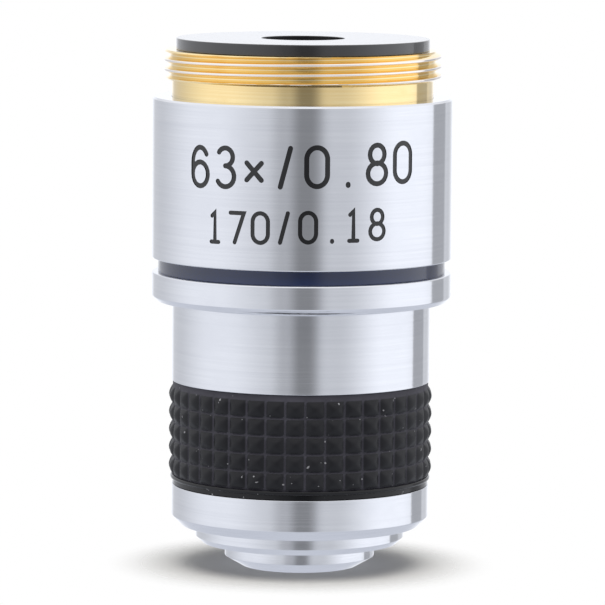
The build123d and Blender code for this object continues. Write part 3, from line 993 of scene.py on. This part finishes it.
def build_mount():
    """Brass mount with its helical thread."""
    crest_radius, spigot_bottom, top = size_of("thread_mount")
    thread_bottom = top - THREAD_LENGTH
    base = open_ring([
        (PLUG_BORE_RADIUS, top),
        (PLUG_BORE_RADIUS, RETAINER_BOTTOM),
        (SLIDE_BORE_RADIUS, RETAINER_BOTTOM),
        (SLIDE_BORE_RADIUS, spigot_bottom),
        (RELIEF_RADIUS, spigot_bottom),
        (RELIEF_RADIUS, thread_bottom),
    ], THREAD_COLUMNS)
    tree = thread_tree(crest_radius, thread_bottom, top)
    shape = tree.run("thread_mount_threaded", base, finishes["brass_mount"])
    place_piece("thread_mount_threaded", shape, "body", "brass_mount", "thread_mount")


def build_grip():
    """Grip ring: pillow knurl between a plain margin and a rounded bead over a plain foot."""
    _, bottom, top = size_of("grip_ring")
    rows_top = GRIP_KNURL_BOTTOM + GRIP_ROWS * GRIP_ROW_HEIGHT
    bead_half = GRIP_BEAD_HEIGHT / 2
    bead_centre = (GRIP_LAND_RADIUS, GRIP_KNURL_BOTTOM - bead_half)
    base = open_ring([
        (GRIP_LAND_RADIUS, rows_top),
        (GRIP_LAND_RADIUS, top - EDGE),
        (GRIP_LAND_RADIUS - EDGE, top),
        (GRIP_BORE_RADIUS, top),
        (GRIP_BORE_RADIUS, bottom),
        (GRIP_LAND_RADIUS - EDGE, bottom),
        (GRIP_LAND_RADIUS, bottom + EDGE),
        *arc(bead_centre, (GRIP_BEAD_WIDTH, bead_half), -90, 90, GRIP_BEAD_STEPS),
    ], GRIP_COLUMNS * GRIP_CELL_STEPS)
    shape = knurl_tree().run("grip_ring_knurled", base, finishes["black_grip"])
    place_piece("grip_ring_knurled", shape, "body", "black_grip", "grip_ring")


def build_stop_and_colour_ring():
    """Black disc with the round aperture, and the navy ring."""
    radius, bottom, top = size_of("rear_stop")
    turned_piece("rear_stop_disc", [
        (STOP_HOLE_RADIUS, top - STOP_WEB, EDGE),
        (STOP_HOLLOW_RADIUS, top - STOP_WEB, 0),
        (STOP_HOLLOW_RADIUS, bottom, 0),
        (STOP_PLUG_RADIUS, bottom, EDGE),
        (STOP_PLUG_RADIUS, top - STOP_LIP, 0),
        (radius, top - STOP_LIP, EDGE),
        (radius, top, 0.08),
        (STOP_HOLE_RADIUS, top, EDGE),
    ], "body", "black_stop", "rear_stop")
    radius, bottom, top = size_of("colour_ring")
    turned_piece("colour_ring_band", [
        (SLEEVE_BORE_RADIUS, bottom, 0),
        (radius, bottom, EDGE),
        (radius, top, EDGE),
        (SLEEVE_BORE_RADIUS, top, 0),
    ], "body", "navy_enamel", "colour_ring")


def build_barrel_and_cap():
    """Barrel with its flange and the seats of grip and cap, and the bevelled cap."""
    flange_radius, barrel_bottom, spigot_top = size_of("lower_barrel")
    _, flange_top, _ = size_of("colour_ring")
    _, grip_bottom, grip_top = size_of("grip_ring")
    turned_piece("lower_barrel_turned", [
        (SLIDE_BORE_RADIUS, barrel_bottom, 0),
        (CAP_SEAT_RADIUS, barrel_bottom, 0),
        (CAP_SEAT_RADIUS, grip_bottom, 0),
        (GRIP_SEAT_RADIUS, grip_bottom, 0),
        (GRIP_SEAT_RADIUS, grip_top, 0),
        (BARREL_RADIUS, grip_top, 0.06),
        (BARREL_RADIUS, FLANGE_BOTTOM, 0.20),
        (flange_radius - FLANGE_BEVEL, FLANGE_BOTTOM, 0.10),
        (flange_radius, FLANGE_BOTTOM + FLANGE_BEVEL, 0.20),
        (flange_radius, flange_top, 0.14),
        (RELIEF_RADIUS, flange_top, 0),
        (RELIEF_RADIUS, spigot_top, 0),
        (SLIDE_BORE_RADIUS, spigot_top, 0),
    ], "body", "satin_chrome", "lower_barrel")
    radius, bottom, top = size_of("front_cap")
    turned_piece("front_cap_turned", [
        (CAP_HOLE_RADIUS, bottom, 0.04),
        (radius - CAP_BEVEL, bottom, 0.12),
        (radius, bottom + CAP_BEVEL, 0.15),
        (radius, top, 0.05),
        (CAP_BORE_RADIUS, top, 0),
        (CAP_BORE_RADIUS, CAP_LEDGE, 0),
        (SLIDE_BORE_RADIUS, CAP_LEDGE, 0),
        (SLIDE_BORE_RADIUS, CAP_FLOOR, 0),
        (CAP_HOLE_RADIUS, CAP_FLOOR, 0),
    ], "body", "satin_chrome", "front_cap")


def build_tip():
    """Bevelled tip that holds the front lens; its upper end goes into the lens tube."""
    radius, bottom, top = size_of("front_cell")
    _, shoulder, _ = size_of("lens_tube")
    turned_piece("front_cell_turned", [
        (TIP_HOLE_RADIUS, bottom, 0.03),
        (radius - TIP_BEVEL_WIDTH, bottom, 0.08),
        (radius, bottom + TIP_BEVEL_HEIGHT, 0.08),
        (radius, shoulder, 0.04),
        (TIP_SPIGOT_RADIUS, shoulder, 0),
        (TIP_SPIGOT_RADIUS, top, EDGE),
        (TIP_FUNNEL_RADIUS, top, EDGE),
        (FRONT_LENS_BORE_RADIUS, bottom + FRONT_LENS_BORE_TOP, 0),
        (FRONT_LENS_BORE_RADIUS, bottom + TIP_LIP, 0),
        (TIP_HOLE_RADIUS, bottom + TIP_LIP, 0),
    ], "nose", "satin_chrome", "front_cell")


scene.view_settings.view_transform = "Standard"
add_camera()
build_world()
add_softbox()
add_ground(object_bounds()[0].z)

finishes = {
    "satin_chrome": turned_metal(
        "satin turned chrome", (0.785, 0.80, 0.84), (0.725, 0.74, 0.785),
        roughness=0.07, line_depth=0.5, ring_depth=10.0, haze=0.12,
    ),
    "brass_mount": turned_metal(
        "bright turned brass", (0.97, 0.785, 0.425), (0.90, 0.66, 0.30),
        # The pale thread crests of the brass are a painted highlight
        roughness=0.08, line_depth=0.4, ring_depth=4.0, crest_highlight=(10.04, (0.91, 0.85, 0.80)),
    ),
    "black_stop": coated(
        "matt black stop", (0.010, 0.0095, 0.011), (0.016, 0.015, 0.017),
        roughness=0.30, grain=9.0, depth=0.3, coat=1.0,
    ),
    "navy_enamel": coated(
        "navy enamel", (0.010, 0.026, 0.105), (0.013, 0.032, 0.125),
        roughness=0.22, grain=3.0, depth=0.4, coat=0.6,
    ),
    "black_grip": moulded_rubber(
        # The rubber's pale valley colour is partly dust, partly a painted sheen
        "moulded black rubber", (0.0055, 0.0055, 0.0080), (0.075, 0.072, 0.092), (0.45, 0.45, 0.48),
        roughness=0.48,
    ),
    "marking": coated(
        "black marking paint", (0.005, 0.005, 0.006), (0.008, 0.008, 0.010),
        roughness=0.20, grain=12.0, depth=0.4, ior=1.6,
    ),
    "steel": turned_metal(
        "spring steel", (0.56, 0.56, 0.57), (0.48, 0.48, 0.49),
        roughness=0.22, line_depth=0.3, ring_depth=1.0,
    ),
    "dark_brass": turned_metal(
        "blackened brass", (0.16, 0.13, 0.09), (0.10, 0.085, 0.06),
        roughness=0.34, line_depth=0.4, ring_depth=4.0,
    ),
    "black_aluminium": coated(
        "black anodised aluminium", (0.02, 0.02, 0.022), (0.028, 0.028, 0.03),
        roughness=0.42, grain=20.0, depth=1.0,
    ),
    "crown_glass": optical_glass("crown glass", (0.97, 0.99, 0.99), ior=1.52),
    "flint_glass": optical_glass("flint glass", (0.99, 0.985, 0.95), ior=1.65),
}
for row in frame["record"]["subparts"]:
    for slot in nodes[row["node"]].material_slots:
        slot.material = finishes[row["material_slot"]]

build_spring()
build_sleeve()
build_mount()
build_grip()
build_stop_and_colour_ring()
build_barrel_and_cap()
build_tip()
